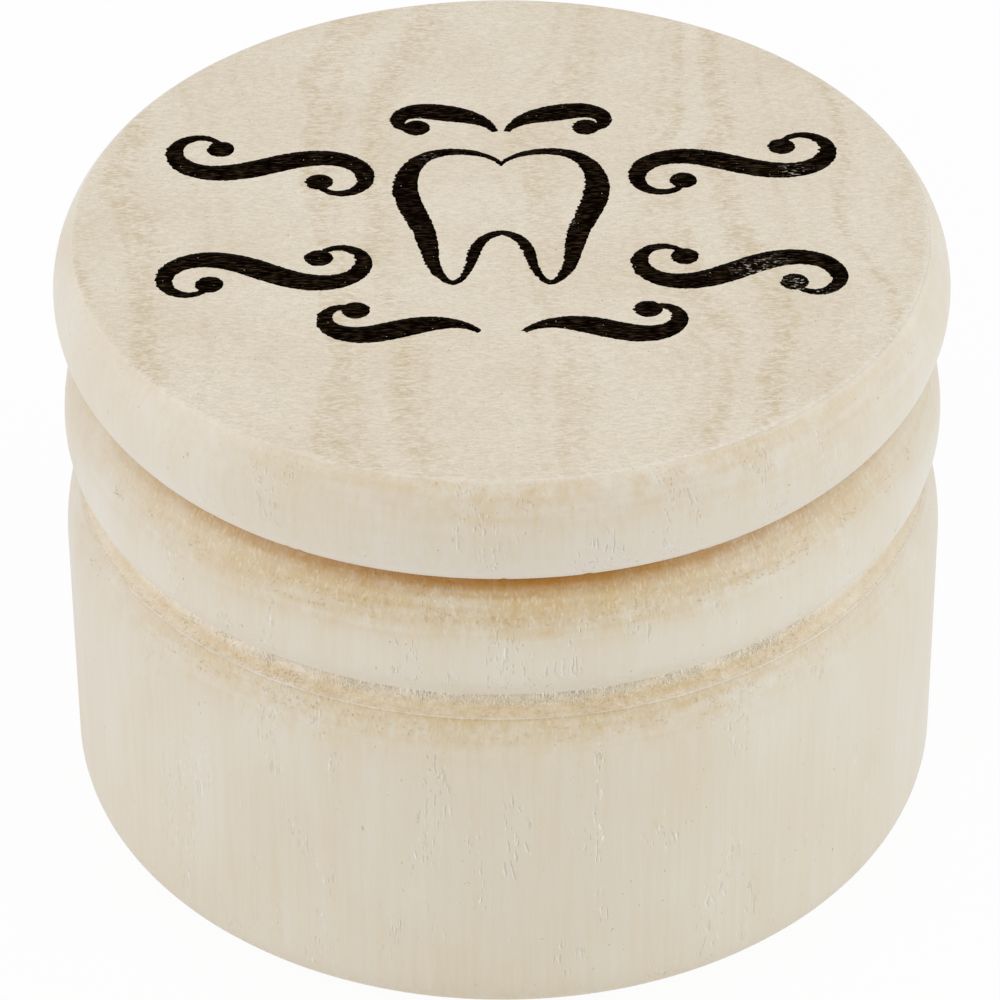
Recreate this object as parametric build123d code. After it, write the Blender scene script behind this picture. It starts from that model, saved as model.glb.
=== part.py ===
"""A small round box for milk teeth: a turned base, a lid that plugs into it, and a black stamped motif.

Lengths are in millimetres. The box stands on the origin and its axis is +Z.
"""
from build123d import *
import os

# The box as a whole
box_diameter = 45.0
base_height = 27.2
lid_thickness = 5.8

# Base: wall, foot and cavity
wall_thickness = 5.5
floor_thickness = 4.6
foot_round = 2.65
cavity_corner_round = 1.6
mouth_chamfer = 0.4
drill_mark_radius = 1.3
drill_mark_depth = 0.7

# Base: the V groove and the bead above it
groove_height = 19.8
groove_depth = 1.55
groove_flank = 0.8
tool_step = 0.08
shoulder_height = 15.3
bead_inset = 0.2
bead_belly_above_groove = 2.8
rim_inset = 1.6

# Lid: the rim that shows
lid_belly_height = 2.8
lid_foot_inset = 1.1
lid_top_inset = 1.1
lid_foot_round = 0.12
lid_top_round = 0.12

# Lid: the spigot that plugs into the base's mouth
spigot_length = 3.5
spigot_clearance = 0.08
spigot_chamfer = 0.5

# Stamped motif: how deep it is pressed, and the film of colour in it
stamp_depth = 0.25
film_thickness = 0.12
film_gap = 0.02

# Stamped motif: the pen that drew it
thick_line = 1.55
hairline = 0.36
blob_diameter = 1.45
swelling = 1.5
points_per_arm = 14
motif_margin = 4.4
motif_gap = 0.9

# Stamped motif: a milk tooth in outline
tooth_width = 9.6
tooth_height = 12.0
tooth_rise = 1.0

# Stamped motif: two rows of scrolls beside the tooth. An arm's length is a share of the room across,
# and a row's height is a share of the tooth's height, up or down from its middle.
high_arm_share = 0.92
high_row_share = 0.38
high_scroll_tilt = -22
low_arm_share = 0.90
low_row_share = 0.41
low_scroll_tilt = 30
scroll_turn = 294

# Stamped motif: the sprig above the tooth and the underline below it
sprig_stem = 3.4
sprig_curl = 4.2
sprig_spread = 3.0
sprig_above_tooth = 3.4
sprig_tilt = 14
sprig_turns = (60, -230)
underline_stem = 4.4
underline_curl = 6.4
underline_spread = 5.2
underline_below_tooth = 4.0
underline_tilt = -20
underline_turns = (70, 250)

# Places that follow from the sizes above
box_radius = box_diameter / 2
mouth_radius = box_radius - wall_thickness
rim_radius = box_radius - rim_inset
groove_radius = box_radius - groove_depth
bead_radius = box_radius - bead_inset
belly_height = groove_height + bead_belly_above_groove
ring_radius = groove_radius + groove_flank
ring_height = groove_height - groove_flank
foot_radius = box_radius - foot_round
spigot_radius = mouth_radius - spigot_clearance
lid_foot_radius = box_radius - lid_foot_inset
lid_top_radius = box_radius - lid_top_inset
lid_belly = base_height + lid_belly_height
lid_top = base_height + lid_thickness
spigot_foot = base_height - spigot_length
tooth_top = tooth_rise + tooth_height / 2
tooth_bottom = tooth_rise - tooth_height / 2
motif_reach = lid_top_radius - motif_margin
scroll_foot = tooth_width / 2 + thick_line / 2 + motif_gap
scroll_room = motif_reach - scroll_foot
scroll_across = scroll_foot + scroll_room / 2


def turned(edges):
    """A solid turned on the lathe, from an outline drawn as radius and height."""
    return revolve(Plane.XZ * make_face(edges), axis=Axis.Z)


def base():
    """The cup: foot, wall, V groove and bead outside, and a bored cavity inside."""
    floor_edge_radius = mouth_radius - cavity_corner_round
    corner_height = floor_thickness + cavity_corner_round
    outside = [
        Line((0, 0), (foot_radius, 0)),
        TangentArc((foot_radius, 0), (box_radius, foot_round), tangent=(1, 0)),
        Line((box_radius, foot_round), (box_radius, shoulder_height)),
        TangentArc((box_radius, shoulder_height), (ring_radius, ring_height), tangent=(0, 1)),
        Line((ring_radius, ring_height), (ring_radius - tool_step, ring_height)),
        Line((ring_radius - tool_step, ring_height), (groove_radius, groove_height)),
        TangentArc((bead_radius, belly_height), (groove_radius, groove_height), tangent=(0, -1)),
        TangentArc((bead_radius, belly_height), (rim_radius, base_height), tangent=(0, 1)),
    ]
    inside = [
        Line((rim_radius, base_height), (mouth_radius + mouth_chamfer, base_height)),
        Line((mouth_radius + mouth_chamfer, base_height), (mouth_radius, base_height - mouth_chamfer)),
        Line((mouth_radius, base_height - mouth_chamfer), (mouth_radius, corner_height)),
        TangentArc((mouth_radius, corner_height), (floor_edge_radius, floor_thickness), tangent=(0, -1)),
        Line((floor_edge_radius, floor_thickness), (drill_mark_radius, floor_thickness)),
        Line((drill_mark_radius, floor_thickness), (0, floor_thickness - drill_mark_depth)),
        Line((0, floor_thickness - drill_mark_depth), (0, 0)),
    ]
    return turned(outside + inside)


def circle_edges(solid, height):
    """The round edges of a turned solid that lie at one height, widest last."""
    level = solid.edges().filter_by(GeomType.CIRCLE).filter_by_position(Axis.Z, height, height)
    return level.sort_by(SortBy.RADIUS)


def plain_lid():
    """The lid before it is stamped: a bulged rim, a flat top and the spigot underneath."""
    outline = [
        Line((0, spigot_foot), (spigot_radius - spigot_chamfer, spigot_foot)),
        Line((spigot_radius - spigot_chamfer, spigot_foot), (spigot_radius, spigot_foot + spigot_chamfer)),
        Line((spigot_radius, spigot_foot + spigot_chamfer), (spigot_radius, base_height)),
        Line((spigot_radius, base_height), (lid_foot_radius, base_height)),
        TangentArc((box_radius, lid_belly), (lid_foot_radius, base_height), tangent=(0, -1)),
        TangentArc((box_radius, lid_belly), (lid_top_radius, lid_top), tangent=(0, 1)),
        Line((lid_top_radius, lid_top), (0, lid_top)),
        Line((0, lid_top), (0, spigot_foot)),
    ]
    lid = turned(outline)
    lid = fillet(circle_edges(lid, lid_top)[-1], lid_top_round)
    return fillet(circle_edges(lid, base_height)[-1], lid_foot_round)


# Centre line of the right half of the tooth; the left half is its mirror image.
# A point is (share of the half width, share of the height, share of the thick line).
tooth_shares = [
    (0.00, 0.885, 0.30),
    (0.36, 0.975, 0.36),
    (0.78, 0.945, 0.54),
    (1.00, 0.770, 0.80),
    (0.96, 0.580, 0.88),
    (0.82, 0.400, 0.78),
    (0.74, 0.220, 0.60),
    (0.64, 0.060, 0.38),
    (0.50, 0.000, 0.30),
    (0.37, 0.070, 0.30),
    (0.29, 0.210, 0.44),
    (0.17, 0.325, 0.40),
    (0.00, 0.365, 0.30),
]


def sides(points, trim):
    """The two edges of a pen line through points of (x, y, width), each drawn in by the trim.

    The first and last points only show the way that the line comes and goes, and get no edge.
    """
    left = []
    right = []
    for before, (x, y, width), after in zip(points, points[1:], points[2:]):
        way = Vector(after[0] - before[0], after[1] - before[1]).normalized()
        reach = width / 2 - trim
        left.append(Vector(x - way.Y * reach, y + way.X * reach))
        right.append(Vector(x + way.Y * reach, y - way.X * reach))
    return left, right


def arm(length, tilt, turn, forward):
    """Points along one arm of a flourish: it leaves the middle at the tilt and curls tighter and tighter.

    Its heading starts as the tilt, and what the turn adds to it grows with the square of the distance.
    """
    place = Vector(0, 0)
    found = []
    for i in range(points_per_arm):
        heading = tilt + turn * ((i + 1 / 2) / points_per_arm) ** 2
        step = Vector(length / points_per_arm, 0).rotate(Axis.Z, heading)
        place = place + step if forward else place - step
        share = (i + 1) / points_per_arm
        width = hairline + (thick_line - hairline) * (1 - share**2) ** swelling
        found.append((place.X, place.Y, width))
    return found


def flourish(middle, arms, tilt, turns, trim, blobs):
    """A pen stroke that swells in the middle and curls at both ends, on both halves of the motif.

    blobs says at which ends, inner and outer, the stroke stops in a round blob.
    """
    inner = arm(arms[0], tilt, turns[0], False)
    outer = arm(arms[1], tilt, turns[1], True)
    points = inner[::-1] + [(0, 0, thick_line)] + outer
    left, right = sides([points[0], *points, points[-1]], trim)
    ends = [Line(left[i], right[i]) for i in (0, -1)]
    face = make_face([Spline(left), Spline(right), *ends])
    for i, blob in zip((0, -1), blobs):
        if blob:
            face += Pos(points[i][0], points[i][1]) * Circle(blob_diameter / 2 - trim)
    face = Pos(*middle) * face
    return [face, mirror(face, about=Plane.YZ)]


def tooth(trim):
    """A milk tooth in outline: a closed line that swells down its sides."""
    half_width = tooth_width / 2
    half = [(u * half_width, tooth_bottom + v * tooth_height, w * thick_line) for u, v, w in tooth_shares]
    before, after = [(-x, y, width) for x, y, width in (half[1], half[-2])]
    faces = []
    for side in sides([before, *half, after], trim):
        edge = Spline(side)
        faces.append(make_face([edge, mirror(edge, about=Plane.YZ)]))
    inner, outer = sorted(faces, key=lambda face: face.area)
    return [outer - inner]


def high_scrolls(trim):
    """The upper row of scrolls, one on each side of the tooth."""
    middle = (scroll_across, tooth_rise + high_row_share * tooth_height)
    arms = (high_arm_share * scroll_room, high_arm_share * scroll_room)
    turns = (scroll_turn, scroll_turn)
    return flourish(middle, arms, high_scroll_tilt, turns, trim, (True, True))


def low_scrolls(trim):
    """The lower row of scrolls, which curl the other way."""
    middle = (scroll_across, tooth_rise - low_row_share * tooth_height)
    arms = (low_arm_share * scroll_room, low_arm_share * scroll_room)
    turns = (-scroll_turn, -scroll_turn)
    return flourish(middle, arms, low_scroll_tilt, turns, trim, (True, True))


def sprig(trim):
    """Two small curls above the tooth."""
    middle = (sprig_spread, tooth_top + sprig_above_tooth)
    arms = (sprig_stem, sprig_curl)
    return flourish(middle, arms, sprig_tilt, sprig_turns, trim, (False, True))


def underline(trim):
    """Two curls below the tooth."""
    middle = (underline_spread, tooth_bottom - underline_below_tooth)
    arms = (underline_stem, underline_curl)
    return flourish(middle, arms, underline_tilt, underline_turns, trim, (False, True))


motif = {
    "stamped_tooth": tooth,
    "stamped_high_scrolls": high_scrolls,
    "stamped_low_scrolls": low_scrolls,
    "stamped_sprig": sprig,
    "stamped_underline": underline,
}


def pressed(faces, depth):
    """Flat faces of the motif, raised from the floor of the stamping by a given depth."""
    return [extrude(Pos(0, 0, lid_top - stamp_depth) * face, depth, dir=(0, 0, 1)) for face in faces]


def lid():
    """The lid with the motif pressed into its top."""
    solid = plain_lid()
    for draw in motif.values():
        solid -= pressed(draw(0), stamp_depth)
    return solid


def main():
    """Writes one STEP file for each piece."""
    os.makedirs("parts", exist_ok=True)
    export_step(base(), "parts/base.step")
    export_step(lid(), "parts/lid.step")
    for name, draw in motif.items():
        film = Compound(pressed(draw(film_gap), film_thickness))
        export_step(film, f"parts/{name}.step")


if __name__ == "__main__":
    main()
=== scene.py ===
# %% [markdown]
# A small round box for milk teeth, turned from pale wood. The CAD model gives every piece its place and size.
# This file gives each piece the surface that a lathe, sandpaper and a hot stamp leave on real wood.
# The frame is loaded first, because every piece below is placed by the CAD model's own boxes and outlines.

# %% Load the frame
from math import cos, pi, radians, sin, tau

import bpy
import numpy as np
from mathutils import Matrix, Vector
from mathutils.geometry import delaunay_2d_cdt


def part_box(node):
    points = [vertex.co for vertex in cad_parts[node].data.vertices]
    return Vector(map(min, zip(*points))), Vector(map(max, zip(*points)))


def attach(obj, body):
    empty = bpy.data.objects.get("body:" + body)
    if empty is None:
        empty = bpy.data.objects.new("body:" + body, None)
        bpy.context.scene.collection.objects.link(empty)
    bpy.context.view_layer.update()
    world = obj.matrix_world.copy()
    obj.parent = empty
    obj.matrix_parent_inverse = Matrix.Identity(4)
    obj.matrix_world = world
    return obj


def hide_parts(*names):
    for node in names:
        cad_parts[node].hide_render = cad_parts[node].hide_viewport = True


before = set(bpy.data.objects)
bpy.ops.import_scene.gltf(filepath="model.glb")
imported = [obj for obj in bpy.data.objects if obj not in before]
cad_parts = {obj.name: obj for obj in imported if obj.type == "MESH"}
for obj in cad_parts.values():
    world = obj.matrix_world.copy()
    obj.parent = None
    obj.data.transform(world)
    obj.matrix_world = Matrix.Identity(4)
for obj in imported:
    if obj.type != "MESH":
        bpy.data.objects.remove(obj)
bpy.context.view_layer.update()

print("nodes", sorted(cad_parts))

# %% [markdown]
# The photograph looks down at the box from the front. Its camera was found from the ellipses of the lid and foot:
# a long lens, a little under 37 degrees above the table, turned a trace about its own axis. A long lens keeps the
# near and far halves of the lid almost alike, and that decides more of the likeness than any material does.

# %% Camera
MM = 0.001
camera_elevation = radians(36.78)
camera_roll = radians(-0.3)
camera_distance = 286.5 * MM
camera_aim = Vector((-0.15 * MM, 0, 15.9 * MM))
lens_length = 199.2

camera_data = bpy.data.cameras.new("photo_camera")
camera_data.lens = lens_length
camera_data.sensor_width = 36
camera_data.clip_start = 10 * MM
camera_data.clip_end = 20
camera = bpy.data.objects.new("photo_camera", camera_data)
camera.location = camera_aim + camera_distance * Vector((0, -cos(camera_elevation), sin(camera_elevation)))
camera_turn = Matrix.Rotation(pi / 2 - camera_elevation, 3, "X") @ Matrix.Rotation(camera_roll, 3, "Z")
camera.rotation_euler = camera_turn.to_euler()
bpy.context.scene.collection.objects.link(camera)
bpy.context.scene.camera = camera
bpy.context.scene.view_settings.view_transform = "Standard"
print("camera stands at", [round(c / MM, 1) for c in camera.location], "mm")

# %% [markdown]
# Shader maths reads best as sums. A node socket is wrapped in one small class, so that `1 - torn * 0.5` adds the
# two Math nodes that work it out. Colours can't pass through a Math node, which would turn them grey, so they are
# blended by a Mix node, and places by Vector Math.

# %% A socket that does sums


class Field:
    """One output of a shader node, used as a number, a colour or a place that changes over a surface."""

    def __init__(self, tree, socket=None):
        self.tree = tree
        self.socket = socket

    def node(self, kind, settings=None, inputs=None, output=0):
        """Adds a node of a kind, sets it up, gives its sockets values or links, and returns one output."""
        made = self.tree.nodes.new("ShaderNode" + kind)
        for name, value in (settings or {}).items():
            setattr(made, name, value)
        for name, value in (inputs or {}).items():
            if isinstance(value, Field):
                self.tree.links.new(value.socket, made.inputs[name])
            else:
                made.inputs[name].default_value = value
        return Field(self.tree, made.outputs[output])

    def math(self, operation, *values):
        """The Math node's sum of one, two or three values."""
        return self.node("Math", {"operation": operation}, dict(enumerate(values)))

    def __add__(self, other):
        return self.math("ADD", self, other)

    def __radd__(self, other):
        return self.math("ADD", other, self)

    def __sub__(self, other):
        return self.math("SUBTRACT", self, other)

    def __rsub__(self, other):
        return self.math("SUBTRACT", other, self)

    def __mul__(self, other):
        return self.math("MULTIPLY", self, other)

    def __rmul__(self, other):
        return self.math("MULTIPLY", other, self)

    def kept(self):
        """This number, held between 0 and 1."""
        return self.node("Clamp", {}, {"Value": self})

    def rise(self, low, high):
        """0 below low, 1 above high, and a smooth rise between."""
        settings = {"interpolation_type": "SMOOTHSTEP"}
        return self.node("MapRange", settings, {"Value": self, "From Min": low, "From Max": high})

    def between(self, first, second):
        """The first number where this field is 0, the second where it is 1."""
        return first + (second - first) * self

    def stretched(self, *factors):
        """A place with its three coordinates multiplied."""
        return self.node("VectorMath", {"operation": "MULTIPLY"}, {0: self, 1: factors})

    def moved(self, by):
        """A place moved by three numbers."""
        return self.node("VectorMath", {"operation": "ADD"}, {0: self, 1: by})

    def noise(self, *factors, detail=2.0, roughness=0.5):
        """Cloudy noise from 0 to 1 at a place, with so many clouds to a millimetre along each axis."""
        inputs = {"Vector": self.stretched(*factors), "Scale": 1.0, "Detail": detail, "Roughness": roughness}
        return self.node("TexNoise", {}, inputs)

    def noise_along(self, clouds):
        """Cloudy noise from 0 to 1 along one number of millimetres, with so many clouds to each."""
        return self.node("TexNoise", {"noise_dimensions": "1D"}, {"W": self * clouds, "Scale": 1.0, "Detail": 2.0})

    def blend(self, first, second):
        """The first colour where this field is 0, the second where it is 1."""
        return self.node("Mix", {"data_type": "RGBA"}, {0: self, 6: first, 7: second}, 2)


def linear(red, green, blue):
    """A colour as read off a screen, 0 to 255, turned into the light values that shaders use."""
    share = np.array([red, green, blue]) / 255
    light = np.where(share <= 0.04045, share / 12.92, ((share + 0.055) / 1.055) ** 2.4)
    return (*light.tolist(), 1.0)


def new_material(name, moved=(0, 0, 0)):
    """An empty material, with its Principled shader and the place on the piece in millimetres."""
    material = bpy.data.materials.new(name)
    material.use_nodes = True
    tree = material.node_tree
    shader = tree.nodes["Principled BSDF"]
    place = Field(tree).node("TexCoord", output="Object").stretched(1000, 1000, 1000).moved(moved)
    return material, shader, place


def feed(shader, name, field):
    """Links a field to one of the shader's sockets."""
    field.tree.links.new(field.socket, shader.inputs[name])


# %% [markdown]
# The wood is one solid pattern in space, as in a tree: fibres run up the box, growth rings are broad sheets that
# stand across it, and rays are thin sheets that cross the rings. Any cut through such a pattern then looks right
# by itself: specks and short lines on the end grain of the lid, long streaks on the sides. What the tools did to
# the surface, and the shade and light painted on it, differ from place to place, so every mesh carries them as
# attributes: how far a place shows end grain, how torn it is, how far painted shade darkens it in the crevice
# under the lid, how far burnish and painted light pale it, and where the hot stamp scorched it.

# %% Colours of the wood
# The second colour of each pair is a paler, cooler copy for left and right: painted light from the side lamps and
# the white surroundings
base_cream, base_side_lit = linear(219, 212, 197), linear(223, 217, 207)
lid_cream, lid_side_lit = linear(218, 211, 198), linear(229, 223, 214)
wood_end = linear(247, 236, 218)
wood_shade = linear(176, 168, 152)
wood_loose = linear(230, 216, 190)
wood_pale = linear(237, 233, 227)
wood_tan = linear(206, 182, 136)
wood_torn = linear(203, 174, 122)
crevice_shade_ochre = linear(169, 116, 36)
flake_shadow_tone = linear(170, 154, 122)
gap_and_pit_shade = linear(148, 116, 70)
wood_speck = linear(140, 118, 88)
wood_amber = linear(186, 160, 88)
scorched_brown = linear(26, 17, 9)

# %% A wood material
wood_values = ["end_grain", "torn", "crevice_shade", "burnish_and_light", "tool_rings"]


def wood(name, moved, cream, side_lit, stroke_cells):
    """Bare pale wood: end grain on the flats, long grain on the sides, torn where the lathe cut across it.

    moved is where in the tree the piece was cut, in millimetres. cream is its colour at front and back, and the
    next colour a paler, cooler copy for left and right: painted light from the side lamps and the white
    surroundings.
    stroke_cells sets how short the loose ends are.
    rays, cool where it runs along the growth rings. stroke_cells sets how short the loose ends are.
    """
    material, shader, place = new_material(name, moved)
    flatness, torn, crevice_shade, burnish_and_light, tool_rings, radial, scorched = (
        place.node("Attribute", {"attribute_name": key}, output="Fac")
        for key in [*wood_values, "radial", "scorched"])
    end_grain = flatness.rise(0.4, 0.9)

    # Growth rings are sheets across x, bent by slow noise and broken into patches
    wander = place.noise(0.05, 0.06, 0.02, detail=1) * 10 + place.noise(0.3, 0.25, 0.05, detail=2) * 1.8
    across = place.node("SeparateXYZ", {}, {"Vector": place})
    rings = (across + wander).noise_along(0.36)
    patches = place.noise(0.8, 1.6, 0.8, detail=2).rise(0.36, 0.62)
    late_wood = rings.rise(0.48, 0.66) * (0.35 + patches * 0.65)

    # Rays are thin lines along x, fibres are lines along z
    rays = place.noise(2.8, 8.5, 2.8, detail=2)
    fine_rays = place.noise(7, 15, 7, detail=1)
    fibre = place.noise(3.0, 3.0, 0.10, detail=2)
    fine_fibre = place.noise(11, 11, 0.8, detail=1)
    cloud = place.noise(0.20, 0.20, 0.10, detail=2)
    end_tone = 0.20 + late_wood * rays.rise(0.30, 0.60) * 0.38 + (rays - 0.5) * 0.45
    # Painted shade: the end grain darkens along the rays and finer rays, as the shade of their small relief would
    shade = (0.22 + (rays - 0.5) * 1.0 + (fine_rays - 0.5) * 1.5).kept() * end_grain
    side_tone = 0.20 + ((fibre - 0.5) * 0.42 + (fine_fibre - 0.5) * 0.20) * (0.40 + radial * 0.60)
    tone = (end_grain.between(side_tone, end_tone) + (cloud - 0.5) * (0.58 - end_grain * 0.16)).kept()

    # Space bent by slow noise gives the marks their crooked outlines
    warp = place.node("TexNoise", {}, {"Vector": place.stretched(1.5, 1.5, 0.7), "Scale": 1.0, "Detail": 1.0}, 1)
    bent = place.moved(warp.moved((-0.5, -0.5, -0.5)).stretched(0.4, 0.4, 0.4))

    # Marks: chains of lifted flakes where a radial face shows, each darkened by a painted shadow and paled beside
    # it by a painted highlight; a few dark specks and amber flecks
    clumps = place.noise(0.50, 0.50, 0.20, detail=1).rise(0.52, 0.62) * radial * (1 - end_grain)
    flakes = bent.noise(8, 8, 1.1, detail=1).rise(0.60, 0.72)
    lit_flakes = bent.moved((0.055, 0, 0.03)).noise(8, 8, 1.1, detail=1).rise(0.60, 0.72) * (1 - flakes)
    specks = place.noise(6, 6, 6, detail=0).rise(0.855, 0.885)
    amber = place.noise(3.6, 3.6, 1.7, detail=0).rise(0.86, 0.885)

    # Torn patches have ragged bounds: blotches, fuzz, streaks along the grain and bands round the turn. Their
    # loose ends show as bent pale strokes, with painted shade in the spaces between them and in the pits
    blotches = place.noise(0.60, 0.60, 0.5, detail=3, roughness=0.55)
    fuzz = bent.noise(2.2, 2.2, 1.4, detail=2)
    streaks = bent.noise(3.6, 3.6, 0.5, detail=1)
    turning = place.noise(0.12, 0.12, 2.4, detail=2)
    strokes = bent.noise(6.8, 6.8, 1.7 * stroke_cells, detail=1)
    pits = bent.noise(8.5, 8.5, 5.0, detail=0).rise(0.66, 0.75)
    rough = torn * (0.35 + radial * 0.65)
    ragged = (blotches - 0.5) * 0.9 + (fuzz - 0.5) * (0.25 + radial * 0.25) + (streaks - 0.5) * 0.4 * radial
    ragged = ragged + (turning - 0.5) * 0.9 - 0.08
    torn_here = (torn * (0.27 + radial * 0.63) + ragged * torn.rise(0.0, 0.35) * (0.4 + radial * 0.6)).kept()
    loose_ends = strokes.rise(0.58, 0.67) * rough.rise(0.1, 0.55)
    shaded_gaps = strokes.rise(0.42, 0.32) * rough.rise(0.1, 0.6)
    # Painted shade: the crevice under the lid's overhang turns dark ochre, most at front and back, with ragged
    # bounds
    crevice_shaded = (crevice_shade * (0.15 + radial * radial * 0.85) + ragged * 0.4 * crevice_shade.rise(0, 0.5) * radial).kept()

    # Each layer of colour covers a share of what lies under it
    # Front and back take the first colour, left and right the paler one: painted light
    colour = tone.blend(end_grain.blend(radial.blend(side_lit, cream), wood_end), wood_tan)
    for cover, tint in [
        (shade * 0.5, wood_shade),
        (flakes * clumps * 0.22, flake_shadow_tone),
        (lit_flakes * clumps * 0.90, wood_pale),
        (torn_here, wood_torn),
        (crevice_shaded, crevice_shade_ochre),
        (loose_ends * (1 - crevice_shaded) * 0.42, wood_loose),
        ((shaded_gaps * 0.09 + pits * rough.rise(0.1, 0.6) * 0.04).kept(), gap_and_pit_shade),
        # Burnish and painted light: highlights on the arris and ridges, and paler faces that turn down into shade
        (burnish_and_light * 0.8, wood_pale),
        (specks * 0.5, wood_speck),
        (amber * 0.6, wood_amber),
        (scorched, scorched_brown),
    ]:
        colour = cover.blend(colour, tint)
    feed(shader, "Base Color", colour)
    feed(shader, "Roughness", 0.50 + torn_here * 0.25 + (fibre - 0.5) * 0.1)
    shader.inputs["Specular IOR Level"].default_value = 0.45

    # Relief in millimetres, with the rings that a facing tool leaves on the hidden flats
    middle = place.moved([-step for step in moved]).stretched(1, 1, 0)
    from_axis = place.node("VectorMath", {"operation": "LENGTH"}, {0: middle}, "Value")
    tool_marks = from_axis.noise_along(2.6)
    height = (fine_fibre - 0.5) * 0.006 - flakes * clumps * 0.03 + (turning - 0.5) * 0.006
    height = height + end_grain * ((rays - 0.5) * 0.035 + (fine_rays - 0.5) * 0.030 - specks * 0.02)
    height = height + rough * ((fuzz - 0.5) * 0.08 + (strokes - 0.5) * 0.07 - pits * 0.01)
    height = height + tool_rings * (tool_marks - 0.5) * 0.12
    bump = place.node("Bump", {}, {"Height": height, "Strength": 1.0, "Distance": MM})
    feed(shader, "Normal", bump)
    return material


# %% The woods of base and lid
base_wood = wood("turned_pale_wood_base", (31, 4, 0), base_cream, base_side_lit, 1.0)
lid_wood = wood("turned_pale_wood_lid", (3, 17, 0), lid_cream, lid_side_lit, 2.2)
print("wood:", len(base_wood.node_tree.nodes), "shader nodes, led by", *wood_values)

# %% [markdown]
# A turned piece is a profile spun round the axis. The profile is a chain of straight runs and arcs, worked out as
# arrays of radius and height, and the spin is one outer product: every profile point times every angle. Small
# irregular hollows are then pressed into the skin along its own normal, never outwards, so that the piece keeps
# the CAD model's size.

# %% Runs, arcs and chains


def run(start, end, count):
    """Points of a straight run: start plus an even share of the way to the end."""
    share = np.linspace(0, 1, count + 1)[:, None]
    return np.array(start) + share * (np.array(end) - np.array(start))


def arc(start, end, heading, count, till=1.0):
    """Points of the arc that leaves start along a heading and meets the end.

    With a the angle from the heading to the chord, the point at share u lies from the start at sin(u a) / sin(a)
    of the chord's length, in the heading turned by u a. till stops the arc short of its end.
    """
    start, chord = np.array(start), np.array(end) - np.array(start)
    heading = np.array(heading) / np.hypot(*heading)
    side = np.array([-heading[1], heading[0]])
    angle = np.arctan2(chord @ side, chord @ heading)
    turn = angle * np.linspace(0, till, count + 1)[:, None]
    reach = np.hypot(*chord) * np.sin(turn) / np.sin(angle)
    return start + reach * (np.cos(turn) * heading + np.sin(turn) * side)


def eased(before, corner, after, count):
    """Points that round a corner: the quadratic curve from one point to another that leans on the corner."""
    u = np.linspace(0, 1, count + 1)[:, None]
    return (1 - u) ** 2 * np.array(before) + 2 * u * (1 - u) * np.array(corner) + u**2 * np.array(after)


def chained(stretches):
    """One profile out of stretches that each start where the last one ended."""
    stretches = list(stretches)
    return np.concatenate([stretches[0]] + [stretch[1:] for stretch in stretches[1:]])


# %% Noise on arrays


def lumps(u, v, seed, period=None):
    """Smooth random numbers from -1 to 1 over two coordinates that count cells.

    Each corner of the lattice of cells gets a random number. A point takes the blend of its four corners, each
    weighed by the smoothstep curve 3t^2 - 2t^3 of its nearness. After period cells the first coordinate starts
    over, so that the pattern closes round the turn.
    """
    iu, iv = np.floor(u).astype(int), np.floor(v).astype(int)
    fu, fv = (t * t * (3 - 2 * t) for t in (u - iu, v - iv))
    iu, iv = iu - iu.min(), iv - iv.min()
    size = period or int(iu.max()) + 2
    table = np.random.default_rng(seed).uniform(-1, 1, (size, int(iv.max()) + 2))
    low = table[iu % size, iv] * (1 - fu) + table[(iu + 1) % size, iv] * fu
    high = table[iu % size, iv + 1] * (1 - fu) + table[(iu + 1) % size, iv + 1] * fu
    return low * (1 - fv) + high * fv


# %% Spin a profile


def profile_normals(profile):
    """Unit normals of a profile in radius and height, a quarter turn to the right of the way it runs."""
    way = np.gradient(profile, axis=0)
    way = way / np.linalg.norm(way, axis=1)[:, None]
    return np.stack([way[:, 1], -way[:, 0]], 1)


def spun(values, around):
    """Pairs of radius and height spun round the axis: x = r cos a, y = r sin a, z = z for every pair and angle."""
    radius, height = values[:, :1], values[:, 1:]
    return np.stack(np.broadcast_arrays(radius * np.cos(around), radius * np.sin(around), height), -1)


def grid_faces(rows, columns):
    """Two triangles for every cell of a grid that closes round its columns, facing right of the rows' way."""
    i = np.arange(rows - 1)[:, None] * columns
    j = np.arange(columns)
    a, b = i + j, i + (j + 1) % columns
    c, d = a + columns, b + columns
    return np.concatenate([np.stack([a, b, d], -1).reshape(-1, 3), np.stack([a, d, c], -1).reshape(-1, 3)])


def fan_faces(ring, pole, outward):
    """Triangles from a ring of point numbers to a pole, facing the way that outward says."""
    after = np.roll(ring, -1)
    order = [ring, after, np.full_like(ring, pole)] if outward else [after, ring, np.full_like(ring, pole)]
    return np.stack(order, -1)


# %% Values along a profile


def stretch_values(stretches, levels):
    """A value for every profile point: each named stretch goes evenly from one level to another, others are 0."""
    values = []
    for i, (name, points) in enumerate(stretches.items()):
        low, high = levels.get(name, (0, 0))
        values.append(np.linspace(low, high, len(points))[min(i, 1):])
    return np.concatenate(values)


# %% Put arrays into a mesh


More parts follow.
